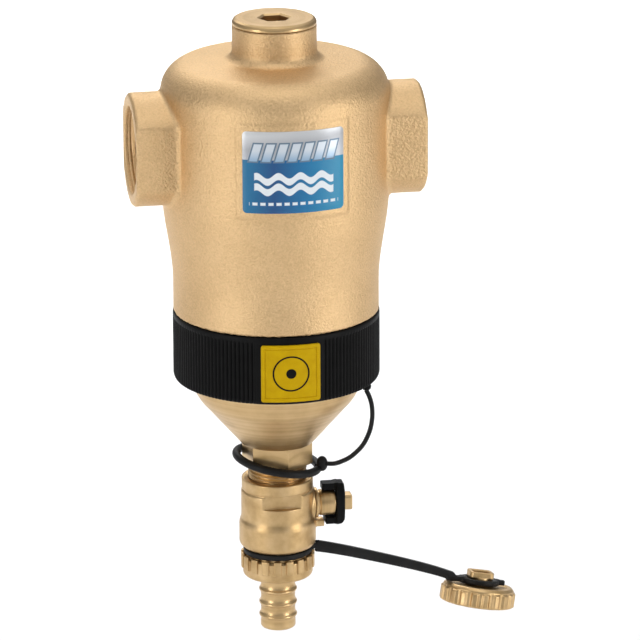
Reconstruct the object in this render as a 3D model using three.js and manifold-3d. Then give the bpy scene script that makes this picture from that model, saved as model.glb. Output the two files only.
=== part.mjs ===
// Magnetic system filter: a brass in-line body with two female ports, a mesh element inside,
// a dirt chamber below, a slide-off magnet ring, and a drain valve with a capped hose tail.
// Millimetres, +Z up. The origin is where the port axis (X) crosses the body axis (Z).
import * as THREE from 'three';
import { mergeVertices } from 'three/addons/utils/BufferGeometryUtils.js';
import Module from 'manifold-3d';

const wasm = await Module();
wasm.setup();

// ---- driving dimensions ----
const GAP = 0.3;                    // clearance left between touching pieces
const FINE = 36;                    // facets round a large turned piece
const COARSE = 20;                  // facets round a small turned piece

const PORT_SPAN = 111;              // port face to port face
const PORT_R = 21.6;
const PORT_FLAT_Y = 17.8;           // wrench flats, front and back
const PORT_BORE_R = 15.2;           // minor radius of a 1 inch female thread
const PORT_MOUTH_R = 17;
const PORT_EDGE = 1;                // chamfer round each port face

const BELLY_R = 43.2;
const SKIRT_R = 39.2;
const SKIRT_BORE_R = 33.6;
const BODY_BOTTOM = -65;
const TAPER_TOP = -16;              // the belly narrows to the skirt between these heights
const TAPER_BOTTOM = -54;
const SHOULDER_R = 11.4;
const SHOULDER_Z = 20.6;            // height of the shoulder curve's centre
const SHOULDER_SWEEP = 85;          // degrees; the boss's flare starts on the same slope
const WALL = 4.2;

const BOSS_R = 16;
const BOSS_TOP = 46.1;
const BOSS_FILLET = 3.8;
const BOSS_FILLET_Z = 36.7;
const PLUG_TOP = 48.7;
const PLUG_SHANK_R = 10;
const PLUG_SHANK_END = 33;
const PLUG_KEY = 10;                // hex key size, across flats
const PLUG_KEY_DEPTH = 7;
const PLUG_FACE_R = 14.6;            // the plug's flat top, inside its rounded edge
const SEAL_SEAT_R = 12.8;
const SEAL_SEAT_DEPTH = 2.4;

const LABEL_PAD_R = 43.5;
const LABEL_WIDTH = 51.7;           // degrees round the body
const LABEL_TOP = 16;
const LABEL_BOTTOM = -15.5;
const LABEL_PAD_RIM = 2.3;

const ELEMENT_TOP = -24;
const ELEMENT_BOTTOM = -87.5;
const ELEMENT_R = 29.4;
const ELEMENT_BARS = 6;
const ELEMENT_FINS = 8;

const CHAMBER_R = 33.2;
const CHAMBER_BORE_R = 30;
const CHAMBER_TOP = -51;
const BOWL_R = 20;                  // rounding between the chamber's wall and its funnel
const BOWL_Z = -89;
const FUNNEL_END_R = 14.1;
const NECK_CORNER_R = 13.8;
const NECK_ROOT_R = 11.6;           // round core under the hexagon, inside its flats
const NECK_TOP = -118.6;
const NECK_BOTTOM = -127.3;
const NECK_TURN = 21.67;             // degrees, where one hexagon flat faces
const SPIGOT_R = 11.3;
const SPIGOT_THREAD_R = 10.8;       // where it screws into the valve, inside the valve's flats
const SPIGOT_END = -138;

const RING_R = 39.5;
const RING_BORE_R = 33.6;
const RING_TOP = -65.4;
const RING_BOTTOM = -91.8;
const RING_LIP = 2.4;
const RING_WALL = 2;
const PLATE_FACING = -1.7;          // degrees from the front
const PLATE_WIDTH = 32.5;           // degrees round the ring
const PLATE_TOP = -68.1;
const PLATE_BOTTOM = -90.4;
const MAGNETS = 6;

const VALVE_TOP = -133.2;
const VALVE_BOTTOM = -161.2;
const STEM_Z = -145.1;
const BALL_R = 6.6;
const BALL_BORE_R = 4.2;
const STEM_R = 3.6;
const STEM_HOLE_R = 3.9;
const STEM_END = 28.9;
const SQUARE_CORNER_R = 3.75;       // the stem's square end has its corners turned off
const VALVE_FLAT_Y = 11.7;
const VALVE_FLAT_Z = [-142.9, -137.3];
const STOP_LUG_X = 18;
const GLAND_HOLE_R = 5.2;
const GLAND_SEAT_X = 14;            // spot face on the valve body, under the gland's flange
const GLAND_FLANGE_R = 5.9;
const GLAND_FLANGE_END = 15.4;
const GLAND_BOSS_R = 6.4;
const GLAND_R = 5.1;
const GLAND_END = 22.1;
const HANDLE_X = [22.4, 25.7];      // inner and outer face of the handle's plate
const HANDLE_CLEAR = 5.4;           // the legs pass this far from the stem's axis
const HANDLE_TOP = 8.1;
const HANDLE_BOTTOM = -8.1;
// Half of the plate's outline, seen along the stem: [depth, height].
const HANDLE_EDGE = [[2.5, 8.1], [4.6, 5.9], [5.5, 2.5], [5.5, -2.5], [4.9, -5.5], [3.7, -8.1]];
const OUTLET_R = 12.5;
const RELIEF_R = 11.6;              // groove above the outlet's thread, where the collar turns
const RELIEF_BOTTOM = -164.4;
const NUT_TOP = -165.2;
const NUT_BOTTOM = -173;
const NUT_BASE_R = 13.5;
const NUT_R = 14.3;
const NUT_PADS = [-169.6, -163.9];
const TAIL_END = -194.6;
const TAIL_BORE_R = 4.7;
const BARB_Z = [-179, -184.3, -189.4];
const BARB_R = 7.3;
const TAIL_R = 6.6;

const TETHER_R = 0.9;
const LOOP_CORD_R = 1.6;
const LOOP_R = 15.7;
const BEAD_R = 2.2;
const BEAD_HALF_HEIGHT = 3;
const BEAD_CENTRE = new THREE.Vector3(16.6, -5.2, -127.6);
// The cord's middle line: down from the lug, out in an easy curve and in to the bead.
const TETHER_ROUTE = [
  [31.1, -20.5, -93.9], [32.2, -20.8, -96.4], [33, -20.9, -99.3], [33.4, -20.6, -102.6],
  [33.4, -20, -106], [33, -19, -109.7], [32.1, -17.6, -113.5], [30.7, -15.8, -117.3],
  [28.7, -13.8, -120.6], [26.1, -11.8, -123.6], [23.2, -9.8, -125.7], [20.7, -8.2, -126.9],
  [18.6, -6.7, -127.3],
];

const CAP_CENTRE = new THREE.Vector3(79.6, 0, -183.1);   // middle of the cap's top face
const CAP_TILT = 10;                // degrees, far side lower
const CAP_LEAN = 9;                 // degrees, top leaning to the back
const CAP_R = 14.7;
const COLLAR_R = 13.3;
const STRAP_HEIGHT = 3.8;
const STRAP_THICK = 2.8;
const STRAP_ROOT_X = 18.4;
const STRAP_BEND_ROOM = 1.5;        // between the collar's stub and the strap, so that it can bend

const rad = THREE.MathUtils.degToRad;

// ---- materials ----
const finish = (color, roughness, metalness) =>
  new THREE.MeshStandardMaterial({ color, roughness, metalness });
const castBrass = () => finish(0xdcb98a, 0.5, 1);
const turnedBrass = () => finish(0xcfa873, 0.28, 1);
const blackPlastic = () => finish(0x1d1e1e, 0.5, 0);
const steel = () => finish(0xb9bcc0, 0.35, 1);
const sealRubber = () => finish(0x141414, 0.8, 0);
const ptfe = () => finish(0xf0efe9, 0.5, 0);

// ---- shape helpers ----
const withoutExtras = (geometry) => {
  const bare = geometry.index ? geometry.toNonIndexed() : geometry.clone();
  Object.keys(bare.attributes).filter((k) => k !== 'position').forEach((k) => bare.deleteAttribute(k));
  return mergeVertices(bare, 1e-5);
};

// A closed solid from a geometry: collapsed triangles dropped, faces turned outward.
const solid = (geometry) => {
  const bare = withoutExtras(geometry);
  const positions = bare.attributes.position.array;
  const source = bare.index.array;
  const corner = (i) => new THREE.Vector3().fromArray(positions, 3 * i);
  const triangles = [];
  let volume = 0;
  for (let t = 0; t < source.length; t += 3) {
    const [a, b, c] = [source[t], source[t + 1], source[t + 2]];
    if (a === b || b === c || a === c) continue;
    triangles.push(a, b, c);
    volume += corner(a).dot(corner(b).cross(corner(c)));
  }
  if (volume < 0) triangles.reverse();
  return new wasm.Manifold(new wasm.Mesh({
    numProp: 3,
    vertProperties: Float32Array.from(positions),
    triVerts: Uint32Array.from(triangles),
  }));
};

const toGeometry = (manifold) => {
  const mesh = manifold.getMesh();
  const geometry = new THREE.BufferGeometry();
  geometry.setAttribute('position', new THREE.BufferAttribute(Float32Array.from(mesh.vertProperties), 3));
  geometry.setIndex(new THREE.BufferAttribute(Uint32Array.from(mesh.triVerts), 1));
  geometry.computeVertexNormals();
  return geometry;
};

// A turned piece: outline points are [radius, height] round the Z axis.
const turned = (outline, facets = COARSE) => {
  const closed = outline[0][0] > 0 ? [...outline, outline[0]] : outline;
  const points = closed.map(([r, z]) => new THREE.Vector2(r, z));
  return solid(new THREE.LatheGeometry(points, facets).rotateX(Math.PI / 2));
};

const disc = (radius, bottom, top, facets = COARSE) =>
  turned([[0, bottom], [radius, bottom], [radius, top], [0, top]], facets);

const washer = (inner, outer, bottom, top, facets = COARSE) =>
  turned([[inner, bottom], [outer, bottom], [outer, top], [inner, top]], facets);

const arc = (centreR, centreZ, radius, from, to, steps) =>
  Array.from({ length: steps + 1 }, (_, i) => {
    const angle = rad(from + (to - from) * i / steps);
    return [centreR + radius * Math.cos(angle), centreZ + radius * Math.sin(angle)];
  });

const block = (x0, x1, y0, y1, z0, z1) =>
  solid(new THREE.BoxGeometry(x1 - x0, y1 - y0, z1 - z0)
    .translate((x0 + x1) / 2, (y0 + y1) / 2, (z0 + z1) / 2));

const prism = (points, bottom, top) => {
  const shape = new THREE.Shape(points.map(([x, y]) => new THREE.Vector2(x, y)));
  const geometry = new THREE.ExtrudeGeometry(shape, { depth: top - bottom, bevelEnabled: false });
  return solid(geometry.translate(0, 0, bottom));
};

// A curved slab between two radii, centred on the direction `facing` (0 is the front, -Y).
const sector = (inner, outer, facing, width, bottom, top, steps = 8) => {
  const angles = Array.from({ length: steps + 1 }, (_, i) => rad(facing - 90 - width / 2 + width * i / steps));
  const edge = (r) => angles.map((angle) => [r * Math.cos(angle), r * Math.sin(angle)]);
  return prism([...edge(outer), ...edge(inner).reverse()], bottom, top);
};

const polygonPrism = (sides, cornerR, turn, bottom, top) =>
  prism(Array.from({ length: sides }, (_, i) => {
    const angle = rad(turn + 360 * i / sides);
    return [cornerR * Math.cos(angle), cornerR * Math.sin(angle)];
  }), bottom, top);

// Turns a solid built round Z so that its axis lies along +X, at the given height.
const alongX = (manifold, height = 0) => manifold.rotate([0, 90, 0]).translate([0, 0, height]);

const ovalSection = (halfWidth, halfHeight, sides) => new THREE.Shape(
  Array.from({ length: sides }, (_, i) => {
    const angle = 2 * Math.PI * (i + 0.5) / sides;
    return new THREE.Vector2(halfWidth * Math.cos(angle), halfHeight * Math.sin(angle));
  }));

const sweep = (section, points, steps) => {
  const path = new THREE.CatmullRomCurve3(points, false, 'centripetal');
  return solid(new THREE.ExtrudeGeometry(section, { steps, extrudePath: path, bevelEnabled: false }));
};

const part = (name, manifold, material) => {
  const mesh = new THREE.Mesh(toGeometry(manifold), material);
  mesh.name = name;
  return mesh;
};

// ---- main body ----
const tapered = (from, to, t) => from + (to - from) * (1 - Math.cos(Math.PI * t)) / 2;

const bodyOutline = () => {
  const taper = [0, 0.25, 0.5, 0.75, 1].map((t) =>
    [tapered(SKIRT_R, BELLY_R, t), TAPER_BOTTOM + (TAPER_TOP - TAPER_BOTTOM) * t]);
  const shoulder = arc(BELLY_R - SHOULDER_R, SHOULDER_Z, SHOULDER_R, 0, SHOULDER_SWEEP, 4);
  const fillet = arc(BOSS_R + BOSS_FILLET, BOSS_FILLET_Z, BOSS_FILLET, 180 + SHOULDER_SWEEP, 180, 2);
  return [[0, BODY_BOTTOM], [SKIRT_R, BODY_BOTTOM], ...taper, ...shoulder, ...fillet,
    [BOSS_R, BOSS_TOP], [0, BOSS_TOP]];
};

const bodyCavity = () => {
  const roofR = 9;
  const roofTop = 29.5;
  const roof = arc(BELLY_R - WALL - roofR, 18, roofR, 0, 84, 2);
  return turned([[0, BODY_BOTTOM - 1], [SKIRT_BORE_R, BODY_BOTTOM - 1], [SKIRT_BORE_R, -50],
    [SKIRT_R - WALL, -48], [BELLY_R - WALL, TAPER_TOP], ...roof, [0, roofTop]], FINE);
};

const portBlank = () => {
  const half = PORT_SPAN / 2;
  const face = PORT_R - PORT_EDGE;
  const round = alongX(turned([[0, -half], [face, -half], [PORT_R, -half + PORT_EDGE],
    [PORT_R, half - PORT_EDGE], [face, half], [0, half]], 28));
  return round.intersect(block(-half - 1, half + 1, -PORT_FLAT_Y, PORT_FLAT_Y, -PORT_R - 1, PORT_R + 1));
};

const portBore = () => {
  const half = PORT_SPAN / 2;
  const chamfer = PORT_MOUTH_R - PORT_BORE_R;
  return alongX(turned([[0, -half - 1], [PORT_MOUTH_R + 1, -half - 1], [PORT_BORE_R, -half + chamfer],
    [PORT_BORE_R, half - chamfer], [PORT_MOUTH_R + 1, half + 1], [0, half + 1]]));
};

const mainBody = () => {
  const pad = sector(BELLY_R - 2, LABEL_PAD_R, 0, LABEL_WIDTH + 6,
    LABEL_BOTTOM - LABEL_PAD_RIM, LABEL_TOP + LABEL_PAD_RIM);
  return turned(bodyOutline(), FINE)
    .add(portBlank())
    .add(pad)
    .subtract(bodyCavity())
    .subtract(portBore())
    .subtract(disc(PLUG_SHANK_R + GAP, 20, BOSS_TOP + 1))
    .subtract(disc(SEAL_SEAT_R, BOSS_TOP - SEAL_SEAT_DEPTH, BOSS_TOP + 1));
};

const bodyParts = () => [
  part('main_body', mainBody(), castBrass()),
  part('front_label', sector(LABEL_PAD_R + GAP, LABEL_PAD_R + GAP + 0.4, 0, LABEL_WIDTH,
    LABEL_BOTTOM, LABEL_TOP), finish(0x2f7fc0, 0.35, 0.2)),
];

// ---- top plug: hex socket screw plug with its sealing ring ----
const topPlug = () => {
  const hexR = PLUG_KEY / Math.sqrt(3);
  const drop = PLUG_TOP - BOSS_TOP - GAP;
  const edge = [[BOSS_R - 0.4, PLUG_TOP - 0.5 * drop], [PLUG_FACE_R, PLUG_TOP]];
  return turned([[0, PLUG_SHANK_END], [PLUG_SHANK_R - 1, PLUG_SHANK_END], [PLUG_SHANK_R, PLUG_SHANK_END + 1],
    [PLUG_SHANK_R, BOSS_TOP + GAP], [BOSS_R, BOSS_TOP + GAP], ...edge, [0, PLUG_TOP]])
    .subtract(polygonPrism(6, hexR, 0, PLUG_TOP - PLUG_KEY_DEPTH, PLUG_TOP + 1));
};

const plugParts = () => [
  part('top_plug', topPlug(), turnedBrass()),
  part('plug_seal', washer(PLUG_SHANK_R + GAP, SEAL_SEAT_R - GAP, BOSS_TOP - SEAL_SEAT_DEPTH + GAP, BOSS_TOP),
    sealRubber()),
];

// ---- filter element: open frame, mesh sleeve and finned core, hung below the ports ----
const elementFrame = () => {
  const inner = ELEMENT_R - 1.8;
  const middle = (ELEMENT_TOP + ELEMENT_BOTTOM) / 2;
  let frame = washer(6.6, ELEMENT_R, ELEMENT_TOP - 2, ELEMENT_TOP);
  for (const z of [middle, ELEMENT_BOTTOM + 2]) {
    frame = frame.add(washer(inner, ELEMENT_R, z - 2, z));
  }
  for (let i = 0; i < ELEMENT_BARS; i += 1) {
    const facing = 360 * i / ELEMENT_BARS;
    const bar = sector(inner, ELEMENT_R, facing, 6, ELEMENT_BOTTOM, ELEMENT_TOP - 1, 1);
    const window = sector(11, 25, facing, 42, ELEMENT_TOP - 3, ELEMENT_TOP + 1, 2);
    frame = frame.add(bar).subtract(window);
  }
  return frame;
};

const elementCore = () => {
  let core = washer(4.5, 6.3, ELEMENT_BOTTOM, ELEMENT_TOP - GAP, 16);
  const pitch = 360 / ELEMENT_FINS;
  for (let i = 0; i < ELEMENT_FINS; i += 1) {
    const fin = block(5.5, 25.5, -0.5, 0.5, ELEMENT_BOTTOM + 2, ELEMENT_TOP - 3);
    core = core.add(fin.rotate([0, 0, pitch * (i + 0.5)]));
  }
  return core;
};

const elementParts = () => [
  part('element_frame', elementFrame(), finish(0x2a2a2c, 0.6, 0)),
  part('element_mesh', washer(26.6, 27.2, ELEMENT_BOTTOM, ELEMENT_TOP - 2 - GAP), finish(0x9a9da0, 0.5, 0.8)),
  part('element_core', elementCore(), finish(0xe8e6df, 0.6, 0)),
];

// ---- dirt chamber ----
const chamberOutline = () => {
  const curve = arc(CHAMBER_R - BOWL_R, BOWL_Z, BOWL_R, 0, -45, 4);
  const shoulder = VALVE_TOP + GAP;
  return [[0, SPIGOT_END], [SPIGOT_THREAD_R, SPIGOT_END], [SPIGOT_THREAD_R, shoulder], [SPIGOT_R, shoulder],
    [SPIGOT_R, NECK_BOTTOM], [NECK_ROOT_R, NECK_BOTTOM], [NECK_ROOT_R, NECK_TOP], [FUNNEL_END_R, NECK_TOP],
    ...curve.reverse(), [CHAMBER_R, CHAMBER_TOP], [0, CHAMBER_TOP]];
};

const chamberBore = () => {
  const boreR = 8;
  const [low, high] = [SPIGOT_END - 2, CHAMBER_TOP + 1];
  return turned([[0, low], [boreR, low], [boreR, -119.5], [24.6, -102.9],
    [CHAMBER_BORE_R, BOWL_Z - 1], [CHAMBER_BORE_R, high], [0, high]], FINE);
};

const GROOVE_R = 30.9;              // floor of the seal's groove round the chamber
const GROOVE = [-57.6, -54.8];

const dirtChamber = () => turned(chamberOutline(), FINE)
  .add(polygonPrism(6, NECK_CORNER_R, -60 - NECK_TURN, NECK_BOTTOM, NECK_TOP + 1.5))
  .subtract(chamberBore())
  .subtract(washer(GROOVE_R, CHAMBER_R + 1, ...GROOVE, FINE));

const chamberSeal = () =>
  washer(GROOVE_R + GAP, SKIRT_BORE_R - GAP, GROOVE[0] + GAP, GROOVE[1] - GAP, FINE);

const chamberParts = () => [
  part('dirt_chamber', dirtChamber(), turnedBrass()),
  part('chamber_seal', chamberSeal(), sealRubber()),
];

// ---- magnet ring: shell, inner liner, magnets, plate and tether lug ----
const ringShell = () => {
  const soft = 0.8;
  const inside = RING_R - RING_WALL;
  return turned([[RING_BORE_R, RING_BOTTOM], [RING_R - soft, RING_BOTTOM], [RING_R, RING_BOTTOM + soft],
    [RING_R, RING_TOP - soft], [RING_R - soft, RING_TOP], [RING_BORE_R, RING_TOP],
    [RING_BORE_R, RING_TOP - RING_LIP], [inside, RING_TOP - RING_LIP],
    [inside, RING_BOTTOM + RING_LIP], [RING_BORE_R, RING_BOTTOM + RING_LIP]], FINE);
};

const ringParts = () => {
  const low = RING_BOTTOM + RING_LIP + GAP;
  const high = RING_TOP - RING_LIP - GAP;
  const pitch = 360 / MAGNETS;
  const magnets = Array.from({ length: MAGNETS }, (_, i) =>
    part(`magnet_${i + 1}`, sector(35.1, 37.1, pitch * i, 34, low + 2, high - 2, 4), steel()));
  return [
    part('ring_shell', ringShell(), blackPlastic()),
    part('ring_liner', washer(RING_BORE_R, 34.8, low, high, FINE), blackPlastic()),
    part('ring_plate', sector(RING_R + GAP, RING_R + 0.9, PLATE_FACING, PLATE_WIDTH,
      PLATE_BOTTOM, PLATE_TOP, 6), finish(0xe2cb1e, 0.5, 0)),
    ...magnets,
    part('tether_lug', disc(1.9, RING_BOTTOM - GAP - 1.5, RING_BOTTOM - GAP, 12)
      .translate([TETHER_ROUTE[0][0], TETHER_ROUTE[0][1], 0]), blackPlastic()),
  ];
};

// ---- tether: cord from the ring's lug to a bead, and a loop from the bead round the neck ----

// The loop lies on a gently tilted circle, open where the bead closes it.
const loopRoute = () => {
  const start = THREE.MathUtils.radToDeg(Math.atan2(BEAD_CENTRE.y, BEAD_CENTRE.x));
  const spare = 8.5;
  return Array.from({ length: 33 }, (_, i) => {
    const angle = rad(start - spare - (360 - 2 * spare) * i / 32);
    const x = LOOP_R * Math.cos(angle);
    const y = LOOP_R * Math.sin(angle);
    return new THREE.Vector3(x, y, -126.8 - 0.19 * x + 0.02 * y);
  });
};

const tetherParts = () => {
  const route = TETHER_ROUTE.map((p) => new THREE.Vector3(...p));
  const bead = new THREE.SphereGeometry(BEAD_R, 8, 12).rotateX(Math.PI / 2)
    .scale(1, 1, BEAD_HALF_HEIGHT / BEAD_R).translate(...BEAD_CENTRE);
  return [
    part('tether_cord', sweep(ovalSection(TETHER_R, TETHER_R, 8), route, 14), blackPlastic()),
    part('tether_bead', solid(bead), blackPlastic()),
    part('tether_loop', sweep(ovalSection(LOOP_CORD_R, LOOP_CORD_R, 8), loopRoute(), 28), blackPlastic()),
  ];
};

// ---- drain valve ----
const valveBody = () => {
  const outline = [[0, VALVE_BOTTOM], [13.4, VALVE_BOTTOM], ...arc(12.8, -157.4, 2, -60, 0, 3),
    [14.8, -151.5], [14, -149], [14, -138.2], [13.5, -137.4], [13.5, VALVE_TOP], [0, VALVE_TOP]];
  const ballRoom = disc(7.2, STEM_Z - 7.2, VALVE_TOP - 1);
  return turned(outline)
    .add(disc(RELIEF_R, RELIEF_BOTTOM - 1, VALVE_BOTTOM + 1))
    .add(disc(OUTLET_R, -168.4, RELIEF_BOTTOM))
    .add(alongX(disc(GLAND_BOSS_R, 8, GLAND_SEAT_X), STEM_Z))
    .add(block(12, STOP_LUG_X, -2.4, 2.4, STEM_Z - 9.2, STEM_Z - 6.6))
    .subtract(block(-15, 15, VALVE_FLAT_Y, 16, ...VALVE_FLAT_Z))
    .subtract(block(-15, 15, -16, -VALVE_FLAT_Y, ...VALVE_FLAT_Z))
    .subtract(disc(SPIGOT_THREAD_R + GAP, SPIGOT_END - GAP, VALVE_TOP + 1))
    .subtract(ballRoom)
    .subtract(disc(TAIL_BORE_R, -170, -140))
    .subtract(alongX(disc(STEM_HOLE_R, 4, 20), STEM_Z))
    .subtract(alongX(disc(GLAND_HOLE_R, 9.6, 20), STEM_Z))
    .subtract(alongX(disc(GLAND_FLANGE_R + GAP, GLAND_SEAT_X, 20), STEM_Z));
};

const valveBall = () => {
  const ball = solid(new THREE.SphereGeometry(BALL_R, 20, 12).translate(0, 0, STEM_Z));
  return ball
    .subtract(disc(BALL_BORE_R, -9, 9, 16).rotate([90, 0, 0]).translate([0, 0, STEM_Z]))
    .subtract(block(5, 9, -1.5, 1.5, STEM_Z - 7, STEM_Z + 7));
};

const valveSeat = (side) => {
  const section = [[4.9, 5], [6.9, 5], [6.9, 6.8], [4.4, 6.8]];
  return turned(section.map(([r, z]) => [r, STEM_Z + side * z]));
};

const valveStem = () => {
  const squareFrom = 22;
  const tang = block(5.3, 7.4, -1.2, 1.2, STEM_Z - 3, STEM_Z + 3);
  const square = block(squareFrom, STEM_END, -3, 3, STEM_Z - 3, STEM_Z + 3);
  const shaft = alongX(disc(STEM_R, 7.2, squareFrom + 0.4), STEM_Z);
  const corners = alongX(disc(SQUARE_CORNER_R, 20, STEM_END + 1), STEM_Z);
  return shaft.add(tang).add(square.intersect(corners));
};

const stemGland = () => {
  const shank = GLAND_HOLE_R - GAP;
  const waist = GLAND_R - 0.4;
  const [seat, top] = [GLAND_SEAT_X + GAP, GLAND_FLANGE_END];
  return alongX(turned([[STEM_HOLE_R, 11.2], [shank, 11.2], [shank, seat], [GLAND_FLANGE_R, seat],
    [GLAND_FLANGE_R, top], [waist, top + 0.3], [waist, top + 0.7], [GLAND_R, top + 1], [GLAND_R, GLAND_END],
    [STEM_HOLE_R, GLAND_END]]), STEM_Z);
};

const valveHandle = () => {
  const right = HANDLE_EDGE.map(([depth, height]) => [-height, depth]);
  const left = HANDLE_EDGE.map(([depth, height]) => [-height, -depth]).reverse();
  const plate = alongX(prism([...right, ...left], ...HANDLE_X), STEM_Z);
  const joined = HANDLE_X[0] + 1;
  const topLeg = block(17.1, joined, -2.5, 2.5, STEM_Z + HANDLE_CLEAR, STEM_Z + HANDLE_TOP);
  const lowLeg = block(18.4, joined, -3.5, 3.5, STEM_Z + HANDLE_BOTTOM, STEM_Z - HANDLE_CLEAR);
  return plate.add(topLeg).add(lowLeg).subtract(alongX(disc(SQUARE_CORNER_R + GAP, 20, 28), STEM_Z));
};

const valveParts = () => [
  part('valve_body', valveBody(), castBrass()),
  part('valve_ball', valveBall(), steel()),
  part('seat_upper', valveSeat(1), ptfe()),
  part('seat_lower', valveSeat(-1), ptfe()),
  part('valve_stem', valveStem(), turnedBrass()),
  part('stem_seal', alongX(washer(STEM_HOLE_R, GLAND_HOLE_R - GAP, 9.9, 10.9), STEM_Z), sealRubber()),
  part('stem_gland', stemGland(), turnedBrass()),
  part('valve_handle', valveHandle(), blackPlastic()),
];

// ---- hose union below the valve ----
const ribs = (count, inner, outer, bottom, top) => {
  const pitch = 360 / count;
  return Array.from({ length: count }, (_, i) => sector(inner, outer, pitch * i, pitch * 0.66, bottom, top, 1));
};

const unionNut = () => {
  const bore = OUTLET_R + GAP;
  const outline = [[bore, NUT_TOP], [bore, -171.7], [8.2, -171.7], [8.2, NUT_BOTTOM], [12.2, NUT_BOTTOM],
    [NUT_BASE_R, -170.8], [NUT_BASE_R, NUT_TOP]];
  return ribs(18, bore + 0.3, NUT_R, ...NUT_PADS)
    .reduce((nut, rib) => nut.add(rib), turned(outline));
};

const hoseTail = () => {
  const flangeTop = -170.2;
  const barbs = BARB_Z.flatMap((z) => [[TAIL_R, z + 2.2], [BARB_R, z], [TAIL_R, z - 2.2]]);
  return turned([[TAIL_BORE_R, TAIL_END], [TAIL_BORE_R, flangeTop], [11.8, flangeTop], [11.8, -171.4],
    [7.2, -171.4], ...barbs, [TAIL_R, TAIL_END + 1], [TAIL_R - 0.7, TAIL_END]]);
};

const unionParts = () => [
  part('union_nut', unionNut(), turnedBrass()),
  part('hose_tail', hoseTail(), turnedBrass()),
  part('tail_gasket', washer(TAIL_BORE_R + 0.5, 11.8, -169.9, -168.7), sealRubber()),
];

// ---- cap and strap ----
// The strap's middle line in the X-Z plane, from its collar to the eyelet.
const STRAP_LINE = [[STRAP_ROOT_X, -163.6], [28, -165.9], [40, -169.3], [51, -172.6], [61, -175.9],
  [68.5, -178.8]];

// Cap pieces are made round their own axis, with the cap's top face at zero height.
const inCapPlace = (manifold) => manifold.rotate([-CAP_LEAN, CAP_TILT, 0]).translate(CAP_CENTRE.toArray());

const drainCap = () => {
  const skirt = turned([[12.9, -7.6], [13.9, -7.6], [13.9, -1.6], [13, -0.2], [12.6, 0], [4.6, 0], [4.6, 2.7],
    [0, 2.7], [0, -2.2], [12.9, -2.2]]);
  const key = block(-4.9, 4.9, -4.2, 4.2, 2.6, 5.2).intersect(disc(5.7, 2, 6));
  const socket = block(-3.2, 3.2, -3.2, 3.2, 1.5, 6);
  return ribs(20, 13.2, CAP_R, -7.2, -1.8)
    .reduce((cap, rib) => cap.add(rib), skirt.add(key))
    .subtract(socket);
};

const strapParts = () => {
  const [low, high] = [NUT_PADS[1] + GAP, VALVE_BOTTOM - GAP];
  const half = STRAP_THICK / 2;
  const stubEnd = STRAP_ROOT_X - STRAP_BEND_ROOM;
  const collar = washer(RELIEF_R + GAP, COLLAR_R, low, high)
    .add(block(COLLAR_R - 0.7, stubEnd, -half, half, low, high))
    .add(block(NUT_R + 0.6, stubEnd, -half, half, STRAP_LINE[0][1] - STRAP_HEIGHT / 2, high));
  const section = ovalSection(STRAP_HEIGHT / Math.SQRT2, STRAP_THICK / Math.SQRT2, 4);
  const ribbon = sweep(section, STRAP_LINE.map(([x, z]) => new THREE.Vector3(x, 0, z)), 14);
  const neck = block(-13.5, -6.4, -2, 2, 0.4, 2.4);
  const nib = block(6.6, 10, -1.3, 1.3, 0.4, 2.4);
  const eyelet = washer(5, 7.6, 0.4, 2.4).add(neck).add(nib);
  return [
    part('strap_collar', collar, blackPlastic()),
    part('cap_strap', ribbon.add(inCapPlace(eyelet)), blackPlastic()),
    part('drain_cap', inCapPlace(drainCap()), turnedBrass()),
    part('cap_gasket', inCapPlace(washer(3, 12.6, -3.7, -2.5)), sealRubber()),
  ];
};

const filter = new THREE.Group();
filter.add(...bodyParts(), ...plugParts(), ...elementParts(), ...chamberParts(), ...ringParts(),
  ...tetherParts(), ...valveParts(), ...unionParts(), ...strapParts());

export default filter;
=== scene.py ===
"""Magnetic system filter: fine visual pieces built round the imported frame.

Blender works in metres with +Z up. Shapes below are written in millimetres, in the frame's own
axes (origin where the port axis crosses the body axis, -Y towards the label), and scaled once.
"""
from functools import partial
from math import atan2, ceil, cos, pi, radians, sin, tan

import bmesh
import bpy
import numpy as np
from mathutils import Matrix, Vector
from numpy import hypot, maximum, minimum


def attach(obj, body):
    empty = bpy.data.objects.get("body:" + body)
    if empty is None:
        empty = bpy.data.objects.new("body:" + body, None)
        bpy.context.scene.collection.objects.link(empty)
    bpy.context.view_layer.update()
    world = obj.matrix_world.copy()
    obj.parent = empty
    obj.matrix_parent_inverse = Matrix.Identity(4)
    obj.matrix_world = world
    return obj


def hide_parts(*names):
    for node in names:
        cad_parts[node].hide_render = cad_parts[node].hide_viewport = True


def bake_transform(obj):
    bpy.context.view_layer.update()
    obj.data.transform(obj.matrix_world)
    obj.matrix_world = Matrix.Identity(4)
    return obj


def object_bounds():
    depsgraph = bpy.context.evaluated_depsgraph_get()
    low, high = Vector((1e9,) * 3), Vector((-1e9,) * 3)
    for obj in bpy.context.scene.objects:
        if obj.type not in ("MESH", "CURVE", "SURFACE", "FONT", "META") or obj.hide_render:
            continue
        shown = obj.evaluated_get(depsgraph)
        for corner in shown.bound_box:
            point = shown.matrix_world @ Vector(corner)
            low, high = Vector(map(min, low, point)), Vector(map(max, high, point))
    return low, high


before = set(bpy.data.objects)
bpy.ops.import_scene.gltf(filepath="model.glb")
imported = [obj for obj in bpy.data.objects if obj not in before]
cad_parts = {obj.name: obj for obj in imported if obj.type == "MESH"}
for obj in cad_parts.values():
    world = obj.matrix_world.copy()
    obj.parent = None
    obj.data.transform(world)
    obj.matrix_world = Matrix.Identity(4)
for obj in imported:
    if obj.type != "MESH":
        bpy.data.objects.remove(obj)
scene = bpy.context.scene
cad_low, cad_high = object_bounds()
MM = 0.001
SLANT = 0.7071  # turns a 45 degree bevel's reading into a distance


# ---- camera, light and stage
def new_object(name, data):
    made = bpy.data.objects.new(name, data)
    scene.collection.objects.link(made)
    return made


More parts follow.
